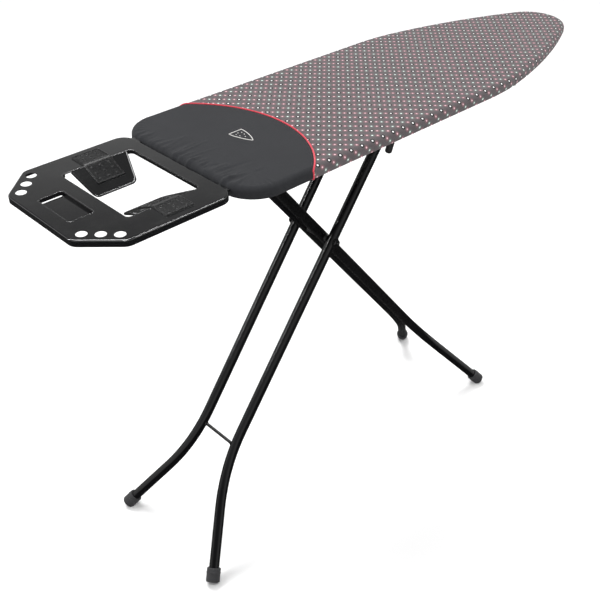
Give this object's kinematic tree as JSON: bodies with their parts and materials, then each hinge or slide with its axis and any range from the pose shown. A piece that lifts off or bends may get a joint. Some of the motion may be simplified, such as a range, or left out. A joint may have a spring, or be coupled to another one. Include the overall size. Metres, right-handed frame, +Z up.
{
  "type": "folding ironing board",
  "caption": "Full-height folding ironing board on crossed tube legs, with a padded patterned cover over a mesh top, a sprung height lever and a pressed black iron rest at the wide end.",
  "frame": {"origin": "on the floor, under the middle of the whole length and width", "axes": "+X towards the nose, +Y across the board to the left of someone facing the nose, +Z up"},
  "size_m": [1.422, 0.3816, 0.9222],
  "materials": {
    "coated_steel": "gloss black powder coat",
    "rest_steel": "satin-gloss black powder coat on pressed steel",
    "frame_steel": "black powder coat",
    "foot_rubber": "matt moulded rubber",
    "silicone": "moulded silicone with small nubs",
    "black_plastic": "moulded nylon",
    "zinc_steel": "zinc plated",
    "patterned_cotton": "printed cotton, small dots and rings on mid grey",
    "black_cotton": "plain charcoal-black cotton",
    "red_piping": "woven red piping",
    "felt": "needle felt and foam underlay"
  },
  "bodies": {
    "board": {"mesh_panel": "frame_steel", "rim_frame": "frame_steel", "underlay_pad": "felt", "cover_patterned": "patterned_cotton", "cover_end_panel": "black_cotton", "cover_piping": "red_piping", "cover_hem_cord": "black_cotton", "cross_bar_hinge": "frame_steel", "cross_bar_middle": "frame_steel", "cross_bar_front": "frame_steel", "cross_bar_nose": "frame_steel", "hinge_saddle_left": "black_plastic", "hinge_saddle_right": "black_plastic", "saddle_screws": "zinc_steel", "rail_left": "frame_steel", "rail_right": "frame_steel", "rail_stops": "black_plastic", "rail_rivets": "zinc_steel", "iron_rest": "rest_steel", "rest_pad_left": "silicone", "rest_pad_right": "silicone", "rest_strap_left": "rest_steel", "rest_strap_right": "rest_steel", "strap_rivets": "zinc_steel", "lever_brackets": "frame_steel"},
    "inner_leg": {"inner_leg_tube_left": "coated_steel", "inner_leg_tube_right": "coated_steel", "inner_leg_foot_cap_left": "foot_rubber", "inner_leg_foot_cap_right": "foot_rubber", "hinge_tube": "coated_steel", "hinge_tube_plugs": "black_plastic", "pivot_bolt": "coated_steel", "pivot_cap_nut": "coated_steel", "pivot_washers": "coated_steel", "pivot_spacers": "black_plastic", "pivot_centre_sleeve": "black_plastic"},
    "outer_leg": {"outer_leg_tube_left": "coated_steel", "outer_leg_tube_right": "coated_steel", "outer_leg_foot_cap_left": "foot_rubber", "outer_leg_foot_cap_right": "foot_rubber", "outer_leg_top_axle": "coated_steel", "outer_leg_brace": "coated_steel", "outer_leg_end_plugs": "black_plastic", "axle_glide_left": "black_plastic", "axle_glide_right": "black_plastic"},
    "height_lever": {"lever_rod": "zinc_steel", "lever_grip": "black_plastic", "lever_comb": "zinc_steel", "lever_collars": "zinc_steel", "lever_spring": "zinc_steel"}
  },
  "joints": [
    {"name": "leg_fold", "type": "hinge", "parent": "board", "child": "inner_leg", "pos_m": [-0.30129, 0, 0.888], "axis": [0, -1, 0], "range_deg": [0, 48.5]},
    {"name": "scissor_pivot", "type": "hinge", "parent": "inner_leg", "child": "outer_leg", "pos_m": [-0.0956, 0, 0.634], "axis": [0, 1, 0], "range_deg": [0, 100.39]},
    {"name": "height_release", "type": "hinge", "parent": "board", "child": "height_lever", "pos_m": [0.11, -0.156, 0.889], "axis": [-1, 0, 0], "range_deg": [0, 7], "stiffness_Nm_per_rad": 1, "springref_deg": -28.65}
  ],
  "couplings": [
    {"joint": "scissor_pivot", "follows": "leg_fold", "ratio": 2.0689}
  ]
}
